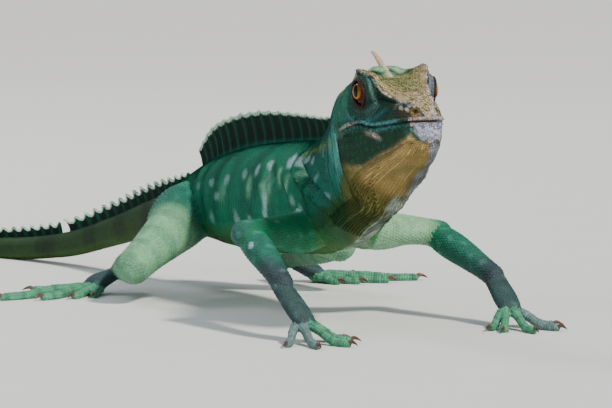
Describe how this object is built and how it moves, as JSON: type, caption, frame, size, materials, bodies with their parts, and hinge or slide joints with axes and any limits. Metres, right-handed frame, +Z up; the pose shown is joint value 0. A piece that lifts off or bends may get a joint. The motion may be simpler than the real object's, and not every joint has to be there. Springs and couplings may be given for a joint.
{
  "type": "green basilisk lizard",
  "caption": "Life-size crested green lizard standing with raised head, with a rayed dorsal sail, head crests, long curved tail and spread clawed toes.",
  "frame": {"origin": "middle of the whole animal's footprint, on the plane that it stands on", "axes": "+Z up, -Y the way the animal faces, +X its left side"},
  "size_m": [0.2006, 0.6082, 0.092],
  "materials": {
    "head_skin": "scaled skin, teal green with tan crown and golden throat",
    "body_skin": "scaled skin, emerald to teal with pale blue spots",
    "tail_skin": "scaled skin, dark olive green with darker bands",
    "digits": "banded grey-green scales with horn claws",
    "crest": "thin skin over rays with a pale mint edge",
    "eye": "wet golden eye with a black pupil"
  },
  "bodies": {
    "root": {"head": "head_skin", "neck": "head_skin", "torso_front": "body_skin", "torso_rear": "body_skin", "tail_1": "tail_skin", "tail_2": "tail_skin", "tail_3": "tail_skin", "tail_4": "tail_skin", "eye_L": "eye", "eye_R": "eye", "head_crest_front": "crest", "head_crest_rear": "crest", "dorsal_sail": "crest", "tail_crest_1": "crest", "tail_crest_2": "crest", "upper_arm_R": "body_skin", "forearm_R": "body_skin", "hand_R": "digits", "thigh_R": "body_skin", "shank_R": "body_skin", "foot_R": "digits", "upper_arm_L": "body_skin", "forearm_L": "body_skin", "hand_L": "digits", "thigh_L": "body_skin", "shank_L": "body_skin", "foot_L": "digits"}
  },
  "joints": []
}
